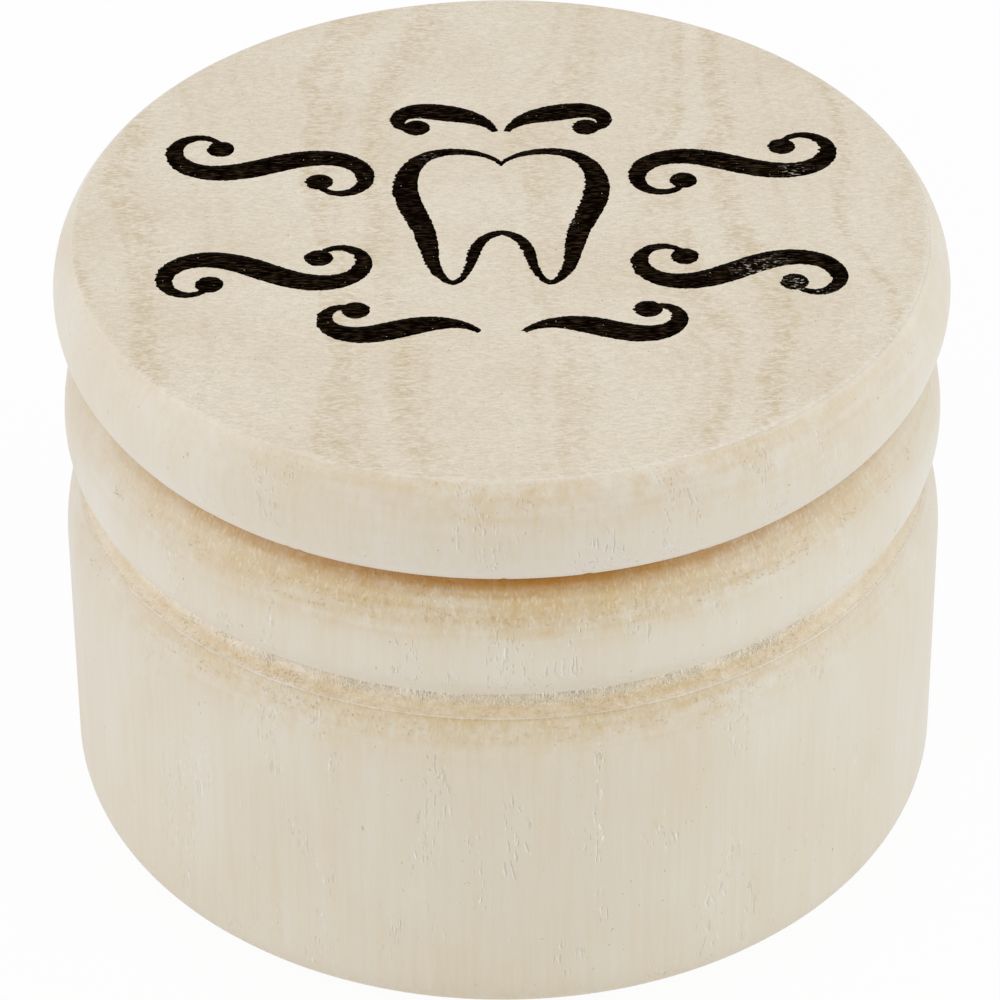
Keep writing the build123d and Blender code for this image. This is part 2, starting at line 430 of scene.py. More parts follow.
def new_piece(name, points, faces, material, smooth=True, point_values=None, face_values=None):
    """A mesh object from arrays in millimetres, with its material and its values at every point or face.

    Every point also gets y^2 / (x^2 + y^2) as radial: 1 at front and back, where the skin runs along the rays,
    and 0 at left and right, where it runs along the growth rings and stays smoother under the tool.
    """
    mesh = bpy.data.meshes.new(name)
    mesh.from_pydata((points * MM).tolist(), [], faces.tolist())
    mesh.polygons.foreach_set("use_smooth", np.broadcast_to(smooth, len(faces)).copy())
    for domain, table in (("POINT", point_values), ("FACE", face_values)):
        for key, values in (table or {}).items():
            mesh.attributes.new(key, "FLOAT", domain).data.foreach_set("value", values.astype(np.float32).ravel())
    from_axis = np.maximum((points[:, :2] ** 2).sum(1), 1e-9)
    radial = (points[:, 1] ** 2 / from_axis).astype(np.float32)
    mesh.attributes.new("radial", "FLOAT", "POINT").data.foreach_set("value", radial)
    mesh.materials.append(material)
    mesh.validate()
    piece = bpy.data.objects.new(name, mesh)
    bpy.context.scene.collection.objects.link(piece)
    print(name, len(points), "points", len(faces), "faces")
    return piece


# %% [markdown]
# The base. Its profile starts at the middle of the underside and goes round the foot, up the wall, through the
# groove, over the bead, across the rim, and down the bore to the middle of the floor. The radius and height come
# from the CAD node's box, and the rest repeats the drawing's sizes. Points lie closest where the form turns and
# where the wood is torn. Just under the groove the tool's heel left a fine scored line with a lip above it, paled
# partly by burnish and partly by a painted highlight.

# %% Sizes of the turned form, in millimetres
columns = 720
around = np.arange(columns) / columns * tau
box_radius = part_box("base")[1][0] / MM
base_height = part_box("base")[1][2] / MM
lid_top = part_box("lid")[1][2] / MM
spigot_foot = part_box("lid")[0][2] / MM
foot_round = 2.65
shoulder_height = 15.3
groove_height = 19.8
groove_radius = box_radius - 1.55
ring_radius = groove_radius + 0.8
ring_height = groove_height - 0.8
tool_step = 0.08
bead_radius = box_radius - 0.2
belly_height = groove_height + 2.8
rim_radius = box_radius - 1.6
# The second and third numbers say how far under the rim the painted shade of the lid's crevice starts and where it
# is full
rim_torn_full, rim_shade_from, rim_shade_full = 1.1, 1.25, 0.45  # how far under the rim
mouth_radius = box_radius - 5.5
mouth_chamfer = 0.4
floor_height = 4.6
corner_round = 1.6
mark_radius = 1.3
mark_depth = 0.7
score_from = 0.945  # share of the shoulder's arc below the scored line
score_bottom_share, lip_share = 0.40, 0.70  # of the way from there to the groove's edge
score_depth = 0.035
print("base", box_radius, base_height, "lid top", lid_top, "spigot foot", spigot_foot)

# %% The base's profile
shoulder = arc((box_radius, shoulder_height), (ring_radius, ring_height), (0, 1), 12, score_from)
ring = np.array([ring_radius, ring_height])
score_start = shoulder[-1]
score_bottom = score_start + score_bottom_share * (ring - score_start) - [score_depth, 0]
lip_start = score_start + lip_share * (ring - score_start)
base_stretches = {
    "underside": run((0, 0), (box_radius - foot_round, 0), 8),
    "foot": arc((box_radius - foot_round, 0), (box_radius, foot_round), (1, 0), 12),
    "wall": run((box_radius, foot_round), (box_radius, shoulder_height), 20),
    "shoulder": shoulder,
    "score": run(score_start, score_bottom, 1),
    "lip": run(score_bottom, lip_start, 1),
    "band": run(lip_start, ring, 2),
    "step": run(ring, ring - [tool_step, 0], 1),
    "flank": run(ring - [tool_step, 0], (groove_radius, groove_height), 8),
    "bead": arc((bead_radius, belly_height), (groove_radius, groove_height), (0, -1), 18)[::-1],
    "bead_top": arc((bead_radius, belly_height), (rim_radius, base_height), (0, 1), 26),
    "rim": run((rim_radius, base_height), (mouth_radius + mouth_chamfer, base_height), 3),
    "chamfer": run((mouth_radius + mouth_chamfer, base_height), (mouth_radius, base_height - mouth_chamfer), 2),
    "bore": run((mouth_radius, base_height - mouth_chamfer), (mouth_radius, floor_height + corner_round), 11),
    "corner": arc((mouth_radius, floor_height + corner_round), (mouth_radius - corner_round, floor_height),
                  (0, -1), 5),
    "floor": run((mouth_radius - corner_round, floor_height), (mark_radius, floor_height), 5),
    "mark": run((mark_radius, floor_height), (0, floor_height - mark_depth), 2),
}
base_profile = chained(base_stretches.values())
print("base profile", len(base_profile), "points")

# %% What the tools did to the base, and the painted shade under the lid
shoulder_torn, bead_torn = 0.62, 0.80
bead_torn_from = belly_height + 0.4
base_torn = stretch_values(base_stretches, {
    "foot": (0.12, 0.02),
    "score": (0.7, 0.8),
    "lip": (0.8, 0.5),
    "band": (0.35, 0.35),
    "step": (0.2, 0.4),
    "flank": (0.55, 0.80),
    "rim": (0.6, 0.5),
    "bore": (0.12, 0.12),
    "corner": (0.2, 0.5),
    "floor": (0.5, 0.5),
    "mark": (0.6, 0.6),
})


def climbed(first, last):
    """How far each point of the base's profile has climbed from one height to another, from 0 to 1."""
    return np.clip((base_profile[:, 1] - first) / (last - first), 0, 1)


# The shoulder tears more and more towards its top, and the bead on its upper half, with an S curve
shoulder_share = stretch_values(base_stretches, {"shoulder": (0.0, 1.0)})
on_bead_top = stretch_values(base_stretches, {"bead_top": (1.0, 1.0)})
torn_share = climbed(bead_torn_from, base_height - rim_torn_full)
base_torn = base_torn + shoulder_torn * shoulder_share**2
base_torn = base_torn + on_bead_top * bead_torn * torn_share**2 * (3 - 2 * torn_share)
# Painted shade: the bead's top darkens to ochre towards the rim, in the crevice under the lid's overhang, and
# fades across the rim
base_crevice_shade = climbed(base_height - rim_shade_from, base_height - rim_shade_full)
base_crevice_shade = base_crevice_shade * stretch_values(base_stretches, {"bead_top": (1.0, 1.0), "rim": (1.0, 0.1)})
most_torn = base_torn.argmax()
print("base torn most,", round(base_torn[most_torn], 2), "at height", round(base_profile[most_torn, 1], 1), "mm")

# %% What the tools burnish on the base, and where painted light pales it
bead_painted_light, groove_painted_light = 0.25, 0.60
painted_light_height = 4.4
# Burnish and painted light pale the lip, the band and the step, and the bead's lower side, which faces down over
# the groove, most next to the groove
base_burnish_and_light = stretch_values(base_stretches, {
    "lip": (0.2, 0.60), "band": (0.50, 0.25), "step": (0.5, 0.2), "bead": (1.0, 1.0), "bead_top": (1.0, 1.0)})
above_groove = climbed(groove_height, groove_height + painted_light_height)
base_burnish_and_light = base_burnish_and_light * (bead_painted_light * (1 - above_groove**2) + groove_painted_light * (1 - above_groove) ** 10)

# The last part of the flank, next to the groove's corner, is less torn, and paler by painted light against the
# groove's shade
corner_pale = np.clip((stretch_values(base_stretches, {"flank": (0.0, 1.0)}) - 0.55) / 0.25, 0, 1)
base_burnish_and_light = np.maximum(base_burnish_and_light, 0.25 * corner_pale)
base_torn = base_torn * (1 - 0.7 * corner_pale)
base_rings = stretch_values(base_stretches, {"underside": (1, 1), "rim": (1, 1), "floor": (1, 1)})
print("base burnished most,", round(base_burnish_and_light.max(), 2))

# %% Grids over a turned skin


def turned_grid(profile, depth):
    """The spun profile with every point moved inwards, against its normal, by a depth that is never negative."""
    return spun(profile, around) - spun(profile_normals(profile), around) * np.maximum(depth, 0)[:, :, None]


def surface_cells(profile, cells, cell_height):
    """Coordinates that count cells over a turned skin: so many round it, and one per height along the profile."""
    along = np.concatenate([[0], np.cumsum(np.hypot(*np.diff(profile, axis=0).T))])
    return np.broadcast_arrays(np.arange(columns) / columns * cells, (along / cell_height)[:, None])


def skin_values(profile_values, poles):
    """Values of a turned skin's points: each profile point's value all round, then those at the poles."""
    return np.concatenate([np.repeat(profile_values, columns), poles])


# %% Hollows in the base's skin
base_skin = base_profile[1:-1]
base_torn_rows = base_torn[1:-1, None]
tear_depth, wave_depth = 0.045, 0.04
base_depth = base_torn_rows * (tear_depth + tear_depth * lumps(*surface_cells(base_skin, 360, 0.45), 11, 360))
base_depth = base_depth + base_torn_rows * wave_depth * lumps(*surface_cells(base_skin, 170, 1.1), 12, 170)
# The foot and the rim stay true, because the box stands on one and the lid rests on the other
base_depth = base_depth * (base_skin[:, 1:] > foot_round / 2) * (base_skin[:, 1:] < base_height - 0.02)
print("hollows in the base are", round(base_depth.max(), 3), "mm deep at most")

# %% Build the base
base_grid = turned_grid(base_skin, base_depth)
base_rows = len(base_grid)
base_poles = base_profile[[0, -1]]
base_points = np.concatenate([base_grid.reshape(-1, 3), spun(base_poles, np.zeros(1)).reshape(-1, 3)])
base_faces = np.concatenate([
    grid_faces(base_rows, columns),
    fan_faces(np.arange(columns), base_rows * columns, False),
    fan_faces(np.arange(columns) + (base_rows - 1) * columns, base_rows * columns + 1, True),
])
base_end_grain = np.abs(profile_normals(base_profile)[:, 1])
base_table = np.stack([base_end_grain, base_torn, base_crevice_shade, base_burnish_and_light, base_rings])
base_values = {key: skin_values(row[1:-1], row[[0, -1]]) for key, row in zip(wood_values, base_table)}
turned_base = new_piece("turned_base", base_points, base_faces, base_wood, True, base_values)
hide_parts("base")
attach(turned_base, "base")

# %% [markdown]
# The stamped motif. The CAD films of black colour show where the hot stamp pressed the lid. Their top faces give
# the outline: an edge whose two triangles both belong to a top face is inside, and one that has a triangle on its
# left only is on the outline. The stamp tears the wood's rays a little, most where the outline faces left, so the
# outline is cut fine and its points are pushed by random lengths that follow the rays.

# %% Read a film's outline
film_names = ["stamped_tooth", "stamped_high_scrolls", "stamped_low_scrolls", "stamped_sprig", "stamped_underline"]
film_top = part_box(film_names[0])[1][2] / MM
film_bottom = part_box(film_names[0])[0][2] / MM


def mesh_arrays(piece):
    """A mesh's points in millimetres and the point numbers of its triangles."""
    mesh = piece.data
    mesh.calc_loop_triangles()
    points = np.empty(len(mesh.vertices) * 3)
    corners = np.empty(len(mesh.loop_triangles) * 3, dtype=np.int32)
    mesh.vertices.foreach_get("co", points)
    mesh.loop_triangles.foreach_get("vertices", corners)
    return points.reshape(-1, 3) / MM, corners.reshape(-1, 3)


def rim_edges(faces):
    """The edges of a patch of triangles that only one triangle has, with that triangle on their left."""
    edges = np.concatenate([faces[:, [0, 1]], faces[:, [1, 2]], faces[:, [2, 0]]])
    size = edges.max() + 1
    return edges[~np.isin(edges[:, 0] * size + edges[:, 1], edges[:, 1] * size + edges[:, 0])]


def top_outline(piece):
    """The outline of a film's top faces: points (x, y), and for each edge its start and end, film on the left."""
    points, triangles = mesh_arrays(piece)
    kept, number = np.unique(np.round(points, 4), axis=0, return_inverse=True)
    triangles = number.reshape(-1)[triangles]
    edge_a, edge_b = (kept[triangles[:, i]] - kept[triangles[:, 0]] for i in (1, 2))
    normal = np.cross(edge_a, edge_b)
    top = triangles[normal[:, 2] > 0.9 * np.linalg.norm(normal, axis=1)]
    return kept[:, :2], rim_edges(top)


# %% Cut an outline fine
outline_step = 0.07


def finely_cut(points, edges):
    """The outline with every edge cut into equal steps: points, and the number of the next point for each.

    Edge e of length l gets n = ceil(l / step) points, the k-th at start + k / n of the way to the end.
    """
    start, end = points[edges[:, 0]], points[edges[:, 1]]
    count = np.ceil(np.linalg.norm(end - start, axis=1) / outline_step).astype(int)
    first = np.concatenate([[0], np.cumsum(count)[:-1]])
    edge = np.repeat(np.arange(len(edges)), count)
    k = np.arange(count.sum()) - first[edge]
    fine = start[edge] + (k / count[edge])[:, None] * (end - start)[edge]
    edge_from = np.zeros(len(points), dtype=int)
    edge_from[edges[:, 0]] = np.arange(len(edges))
    following = np.arange(len(fine)) + 1
    last = k == count[edge] - 1
    following[last] = first[edge_from[edges[edge[last], 1]]]
    return fine, following


# %% Tear an outline
teeth_length, teeth_height, crumb_size = 0.9, 0.085, 0.11
teeth_push, teeth_push_left, crumb_push = 0.020, 0.060, 0.028


def outward_normals(points, following):
    """Unit normals away from the film: the way from the point before to the point after, turned right."""
    before = np.empty_like(following)
    before[following] = np.arange(len(following))
    way = points[following] - points[before]
    way = way / np.maximum(np.linalg.norm(way, axis=1), 1e-9)[:, None]
    return np.stack([way[:, 1], -way[:, 0]], 1)


def ragged(points, following, seed):
    """The outline as the stamp tears it: pushed along x in thin rows, most where it faces left.

    A point moves along x by its normal's x times teeth, noise in thin rows, and along its normal by crumbs,
    noise in small square cells.
    """
    normal = outward_normals(points, following)
    teeth = lumps(points[:, 0] / teeth_length, points[:, 1] / teeth_height, seed)
    crumbs = lumps(points[:, 0] / crumb_size, points[:, 1] / crumb_size, seed + 1)
    facing_left = np.clip(-normal[:, 0], 0, 1)
    push_x = normal[:, 0] * (teeth_push + teeth_push_left * facing_left) * teeth
    push = np.stack([push_x, np.zeros_like(push_x)], 1) + normal * (crumb_push * crumbs)[:, None]
    return points + push, normal


# %% The outlines of the five films
outlines = {}
for i, name in enumerate(film_names):
    fine, following = finely_cut(*top_outline(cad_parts[name]))
    outlines[name] = (*ragged(fine, following, 100 + 2 * i), following)
    print(name, "outline of", len(fine), "points")

# %% [markdown]
# The lid. Its skin is turned like the base's, from the middle of the spigot's foot round to the arris at the top.
# The flat top can't be a spun grid, because the motif cuts through it, so it is filled with triangles between the
# arris and the motif's outlines. Those inside the motif are let down as the floor of the stamping, and walls join
# them to the top.

# %% The lid's profile
spigot_radius = mouth_radius - 0.08
spigot_chamfer = 0.5
lid_foot_radius = box_radius - 1.1
lid_top_radius = box_radius - 1.1
lid_belly = base_height + 2.8
edge_round = 0.12
foot_reach, arris_reach = 0.4 * edge_round, 0.5 * edge_round
lid_side_low = arc((box_radius, lid_belly), (lid_foot_radius, base_height), (0, -1), 12)[::-1]
lid_side_high = arc((box_radius, lid_belly), (lid_top_radius, lid_top), (0, 1), 34)
foot_corner, arris = lid_side_low[0], lid_side_high[-1]


def step_towards(start, end, length):
    """The point a given length from start on the way to end."""
    return start + length * (end - start) / np.hypot(*(end - start))


foot_before = foot_corner - [foot_reach, 0]
foot_after = step_towards(foot_corner, lid_side_low[1], foot_reach)
arris_before = step_towards(arris, lid_side_high[-2], arris_reach)
arris_after = arris - [arris_reach, 0]
lid_stretches = {
    "spigot_foot": run((0, spigot_foot), (spigot_radius - spigot_chamfer, spigot_foot), 6),
    "spigot_chamfer": run((spigot_radius - spigot_chamfer, spigot_foot),
                          (spigot_radius, spigot_foot + spigot_chamfer), 2),
    "spigot": run((spigot_radius, spigot_foot + spigot_chamfer), (spigot_radius, base_height), 5),
    "underside": run((spigot_radius, base_height), foot_before, 6),
    "foot": eased(foot_before, foot_corner, foot_after, 3),
    "side_low": np.concatenate([[foot_after], lid_side_low[1:]]),
    "side_high": np.concatenate([lid_side_high[:-1], [arris_before]]),
    "arris": eased(arris_before, arris, arris_after, 4),
    "edge": run(arris_after, arris_after - [0.5, 0], 6),
}
lid_profile = chained(lid_stretches.values())
print("lid profile", len(lid_profile), "points")

# %% What the tools did to the lid, and where painted light pales it
lid_torn = stretch_values(lid_stretches, {
    "spigot_foot": (0.5, 0.5),
    "spigot_chamfer": (0.6, 0.4),
    "spigot": (0.12, 0.12),
    "underside": (0.7, 0.5),
    "foot": (0.2, 0.0),
    "side_high": (0.08, 0.50),
    "arris": (0.15, 0.0),
})
# The lid's foot and arris are paled, by burnish and by a painted highlight
lid_burnish_and_light = stretch_values(lid_stretches, {"foot": (1.0, 1.0), "arris": (0.2, 0.2)})
# The lid's side below its belly turns to face down: painted light pales it more and more towards the foot
under_belly = np.clip((lid_belly - lid_profile[:, 1]) / (lid_belly - base_height), 0, 1)
on_side_low = stretch_values(lid_stretches, {"side_low": (1.0, 1.0)})
lid_burnish_and_light = np.maximum(lid_burnish_and_light, under_belly**2.5 * on_side_low)
lid_end_grain = np.abs(profile_normals(lid_profile)[:, 1])
lid_rings = stretch_values(lid_stretches, {"spigot_foot": (1, 1), "underside": (1, 1)})
lid_table = np.stack([lid_end_grain, lid_torn, lid_torn * 0, lid_burnish_and_light, lid_rings])
most_torn = lid_torn.argmax()
print("lid torn most,", round(lid_torn[most_torn], 2), "at height", round(lid_profile[most_torn, 1], 1), "mm")

# %% Fill the flat top round the motif
lid_skin = lid_profile[1:]
lid_rows = len(lid_skin)
rim_circle = spun(lid_skin[-1:], around)[0, :, :2]
outline_points = np.concatenate([outline[0] for outline in outlines.values()])
first_point = np.cumsum([0] + [len(outline[0]) for outline in outlines.values()])
outline_next = np.concatenate([outline[2] + start for outline, start in zip(outlines.values(), first_point)])
flat_points = np.concatenate([rim_circle, outline_points])
flat_next = np.concatenate([(np.arange(columns) + 1) % columns, outline_next + columns])
flat_edges = np.stack([np.arange(len(flat_points)), flat_next], 1)
filled = delaunay_2d_cdt([Vector(p) for p in flat_points.tolist()], flat_edges.tolist(), [], 0, 1e-6)
flat_xy = np.array([tuple(p) for p in filled[0]])
flat_faces = np.array(filled[2])
print("flat top", len(flat_points), "points in,", len(flat_xy), "out,", len(flat_faces), "triangles")

# %% Sort the triangles into top and motif


def inside(places, points, following):
    """Whether each place lies inside an outline: a ray to +x crosses it an odd number of times."""
    (ax, ay), (bx, by) = points.T, points[following].T
    px, py = places.T[:, :, None]
    straddles = (ay > py) != (by > py)
    crossing = ax + (py - ay) * (bx - ax) / np.where(by == ay, 1e-12, by - ay)
    return (straddles & (crossing > px)).sum(1) % 2 == 1


corner = flat_xy[flat_faces]
turn = np.cross(corner[:, 1] - corner[:, 0], corner[:, 2] - corner[:, 0])
flat_faces = np.where((turn > 0)[:, None], flat_faces, flat_faces[:, ::-1])
middle = corner.mean(1)
film_of = np.full(len(flat_faces), -1)
for i, (points, _, following) in enumerate(outlines.values()):
    film_of[inside(middle, points, following)] = i
print("triangles of the top and of each film", np.bincount(film_of + 1))

# %% Wear of the lid's skin, and the painted highlight on its worn arris
edge_tangent = 0.466  # tangent of 25 degrees, half the arris's turn
# The worn arris has this radius everywhere, this much more at one side, and so much more or less by chance
least_radius, more_radius, uneven_radius = 0.22, 0.45, 0.06
lid_along = np.concatenate([[0], np.cumsum(np.hypot(*np.diff(lid_skin, axis=0).T))])[:, None]
arris_row = len(lid_skin) - len(lid_stretches["edge"]) - 1
from_arris = np.abs(lid_along - lid_along[arris_row])
edge_radius = least_radius + more_radius * np.cos(around + radians(35)).clip(0, 1) ** 2
edge_radius = edge_radius + uneven_radius * lumps(around * 36 / tau, around * 0, 31, 36)
edge_reach = edge_tangent * edge_radius
edge_worn = np.maximum(1 - from_arris / edge_reach, 0)
lid_torn_around = 0.35 + 0.65 * np.cos(around + radians(50)) + 0.25 * lumps(around * 20 / tau, around * 0, 32, 20)
lid_torn_grid = lid_torn[1:, None] * np.where(lid_skin[:, 1:] > lid_belly, np.clip(lid_torn_around, 0, 1), 1)
# The worn arris is paled too, as a painted highlight where the rounded edge catches the light
lid_burnish_and_light_grid = np.maximum(lid_burnish_and_light[1:, None], edge_worn.clip(0, 0.3))
print("the arris is worn to a radius of", round(edge_radius.min(), 2), "to", round(edge_radius.max(), 2), "mm")

# %% Hollows in the lid's skin, and nicks in its lower edge
lid_tear, lid_wave = 0.02, 0.03
nick_from, nick_depth = 0.55, 0.16
lid_depth = lid_torn_grid * (lid_tear + lid_wave * lumps(*surface_cells(lid_skin, 360, 0.4), 21, 360))
nick = np.maximum(lumps(*surface_cells(lid_skin, 400, 9.0), 22, 400) - nick_from, 0)
lid_depth = lid_depth + nick_depth * nick * stretch_values(lid_stretches, {"foot": (1, 1)})[1:, None]
lid_depth = lid_depth + edge_worn**2 * edge_reach * edge_tangent / 2
lid_grid = turned_grid(lid_skin, lid_depth)
lid_grid[-1] = spun(lid_skin[-1:], around)[0]  # the flat top's outline stays where it was filled from
print("hollows in the lid are", round(lid_depth.max(), 3), "mm deep at most")

# %% Points and faces of the lid
grid_count = lid_rows * columns
outline_count = len(flat_xy) - columns
top_number = np.concatenate([
    np.arange(columns) + (lid_rows - 1) * columns, grid_count + 1 + np.arange(outline_count)])
floor_number = top_number + outline_count
top_level = np.full((outline_count, 1), lid_top)
lid_points = np.concatenate([
    lid_grid.reshape(-1, 3),
    [[0, 0, spigot_foot]],
    np.hstack([flat_xy[columns:], top_level]),
    np.hstack([flat_xy[columns:], top_level * 0 + film_bottom]),
])

pressed_faces = flat_faces[film_of >= 0]
wall_a, wall_b = rim_edges(pressed_faces).T
walls = np.concatenate([
    np.stack([floor_number[wall_a], top_number[wall_b], top_number[wall_a]], -1),
    np.stack([floor_number[wall_a], floor_number[wall_b], top_number[wall_b]], -1),
])
lid_faces = [
    grid_faces(lid_rows, columns),
    fan_faces(np.arange(columns), grid_count, False),
    top_number[flat_faces[film_of < 0]],
    floor_number[pressed_faces],
    walls[:, ::-1],
]
print("stamping of", len(pressed_faces), "triangles with", len(walls), "in its walls")

# %% Build the lid
face_kinds = np.repeat(np.arange(5), [len(faces) for faces in lid_faces])  # 3 and 4 are the stamping's
flat_values = np.array([1.0, 0.0, 0.0, 0.0, 0.0])  # the top and the stamping: plain end grain
lid_values = {
    key: np.concatenate([skin_values(row[1:], row[:1]), np.repeat(flat, 2 * outline_count)])
    for key, row, flat in zip(wood_values, lid_table, flat_values)
}
lid_values["torn"][:grid_count] = lid_torn_grid.ravel()
lid_values["burnish_and_light"][:grid_count] = lid_burnish_and_light_grid.ravel()
lid_piece = new_piece("turned_lid", lid_points, np.concatenate(lid_faces), lid_wood, face_kinds < 2, lid_values,
                      {"scorched": (face_kinds > 2) * 1.0})
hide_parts("lid")
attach(lid_piece, "lid")

# %% [markdown]
# The colour that the hot stamp left: thin black films on the floor of the stamping. Each film is a closed slab
# with the same torn outline, drawn in by a hair. Real stamped colour is matt, shows the wood's rays faintly,
# misses a few specks, and breaks up where the pressure was low.

# %% Black stamping colour
stamp_black = linear(8, 4, 2)
stamp_brown = linear(78, 62, 44)


def black_stamp(name):
    """Matt black colour over wood, thin on the rays, with specks and worn places where the wood shows."""
    material, shader, place = new_material(name)
    rays = place.noise(2.0, 13, 2.0, detail=2)
    missed = place.noise(9, 9, 9, detail=0).rise(0.835, 0.85)
    weak = place.noise(0.17, 0.17, 1, detail=1).rise(0.64, 0.76)
    broken = place.noise(3.5, 9, 1, detail=1).rise(0.60, 0.64) * weak
    colour = rays.rise(0.46, 0.86).blend(stamp_black, stamp_brown)
    colour = (missed + broken).kept().blend(colour, lid_cream)
    feed(shader, "Base Color", colour)
    feed(shader, "Roughness", 0.60 + (rays - 0.5) * 0.3)
    shader.inputs["Specular IOR Level"].default_value = 0.0
    height = (rays - 0.5) * 0.03 - (missed + broken).kept() * 0.02
    feed(shader, "Normal", place.node("Bump", {}, {"Height": height, "Strength": 1.0, "Distance": MM}))
    return material


stamping = black_stamp("black_stamp")

# %% Build the films
outline_inset = 0.012
film_lift = 0.004
drawn_in = outline_points - outline_inset * np.concatenate([outline[1] for outline in outlines.values()])
film_xy = flat_xy.copy()
film_xy[columns:columns + len(drawn_in)] = drawn_in


def film_slab(faces):
    """A closed slab from flat triangles: the same patch at top and bottom, and a wall along its rim."""
    used, number = np.unique(faces, return_inverse=True)
    top = number.reshape(faces.shape)
    a, b = rim_edges(top).T
    size = len(used)
    points = np.concatenate([np.hstack([film_xy[used], np.full((size, 1), level)])
                             for level in (film_top, film_bottom + film_lift)])
    sides = np.concatenate([np.stack([a, a + size, b + size], -1), np.stack([a, b + size, b], -1)])
    return points, np.concatenate([top, top[:, ::-1] + size, sides])


for i, name in enumerate(film_names):
    points, faces = film_slab(flat_faces[film_of == i])
    film = new_piece(name.replace("stamped", "black"), points, faces, stamping, False)
    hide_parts(name)
    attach(film, "lid")

# %% [markdown]
# Loose fibres. Where the tool cut across the grain, in the groove and on the bead's shoulder, the wood is furry
# with torn fibre ends. Bump alone can't show them, because they stand off the surface and catch the light, so each
# is a thin three-sided sliver. Thousands are worked out at once: an array of roots picked from the base's own
# grid, and the same small spike carried along a short parabola from every root.

# %% Fibre material
fibre_tan = linear(212, 190, 148)
fibre_white = linear(248, 243, 230)


def fibre_wood(name):
    """Torn fibre: tan at the root, almost white at the tip, a little different from one to the next."""
    material, shader, place = new_material(name)
    tip = place.node("Attribute", {"attribute_name": "tip"}, output="Fac")
    tone = (tip + (place.noise(5, 5, 5, detail=1) - 0.5) * 0.8).kept()
    feed(shader, "Base Color", tone.blend(fibre_tan, fibre_white))
    shader.inputs["Roughness"].default_value = 0.8
    shader.inputs["Specular IOR Level"].default_value = 0.2
    return material


torn_fibre = fibre_wood("torn_fibre")

# %% Pick roots for the fibres
base_normals = spun(profile_normals(base_skin), around)
tries_each = 2.6  # for each fibre that is wanted
clump_cells, clump_rows = 140, 3.0  # clumps round the turn, and rows of the grid that each takes
everywhere, fewer_at_sides = 0.35, 1.4


def picked_roots(first_row, last_row, count, seed, clump):
    """Random places on a band of the base's grid, thinned to clumps, with the surface's normals there.

    A place is the bilinear blend of a cell's four corners. It is kept where smooth noise round the band is high,
    and more rarely at left and right, where the tool runs along the growth rings.
    """
    rng = np.random.default_rng(seed)
    tries = int(count * tries_each)
    row = rng.uniform(first_row, last_row - 1, tries)
    column = rng.uniform(0, columns, tries)
    patchy = lumps(column / columns * clump_cells, row / clump_rows, seed + 1, clump_cells)
    density = patchy + everywhere - fewer_at_sides * np.cos(column / columns * tau) ** 2
    chosen = np.flatnonzero(density + rng.uniform(-1, 1, tries) * (1 - clump) > 0)[:count]
    row, column = row[chosen], column[chosen]
    i, j = row.astype(int), column.astype(int) % columns
    u, v = (row - i)[:, None], (column - np.floor(column))[:, None]
    k = (j + 1) % columns
    left = base_grid[i, j] * (1 - u) + base_grid[i + 1, j] * u
    right = base_grid[i, k] * (1 - u) + base_grid[i + 1, k] * u
    return left * (1 - v) + right * v, base_normals[i, j], rng


# %% Slivers from roots


def unit(vectors):
    """Vectors of length 1."""
    return vectors / np.maximum(np.linalg.norm(vectors, axis=-1, keepdims=True), 1e-9)


def slivers(roots, ways, bends, lengths, widths):
    """Tapered three-sided spikes: points, faces, and the share t from root to tip of every point.

    The spine at share t is root + length (t way + t^2 bend), and the three corners stand round it at half the
    width times 1 - t^2.
    """
    rings = 2
    share = np.arange(rings + 1) / rings
    t = share[None, :, None]
    spine = roots[:, None] + lengths[:, None, None] * (t * ways[:, None] + t**2 * bends[:, None])
    side = unit(np.cross(ways, np.roll(ways, 1, axis=1) + [0.3, 0.1, 0.2]))
    other = np.cross(ways, side)
    angle = np.arange(3) * tau / 3
    spokes = np.cos(angle)[:, None] * side[:, None] + np.sin(angle)[:, None] * other[:, None]
    reach = widths[:, None] / 2 * (1 - share**2)
    body = spine[:, :rings, None] + reach[:, :rings, None, None] * spokes[:, None]
    points = np.concatenate([body.reshape(len(roots), -1, 3), spine[:, rings:]], 1)
    a = (np.arange(rings - 1)[:, None] * 3 + np.arange(3)).ravel()
    b = (np.arange(rings - 1)[:, None] * 3 + (np.arange(3) + 1) % 3).ravel()
    last = np.arange(3) + 3 * (rings - 1)
    spike = np.concatenate([
        np.stack([a, b, b + 3], -1), np.stack([a, b + 3, a + 3], -1),
        np.stack([last, np.roll(last, -1), np.full(3, 3 * rings)], -1), [[2, 1, 0]],
    ])
    size = points.shape[1]
    faces = spike[None] + np.arange(len(roots))[:, None, None] * size
    shares = np.broadcast_to(np.append(np.repeat(share[:rings], 3), 1.0), (len(roots), size))
    return points.reshape(-1, 3), faces.reshape(-1, 3), shares.ravel()


# %% Fur on the bands of a skin
root_depth = 0.02


def stretch_rows(stretches, name):
    """The first and last row of a named stretch in the skin of a profile whose first point is a pole."""
    counts = np.cumsum([0] + [len(points) - 1 for points in stretches.values()])
    i = list(stretches).index(name)
    return counts[i] - 1 if i else 0, counts[i + 1] - 1


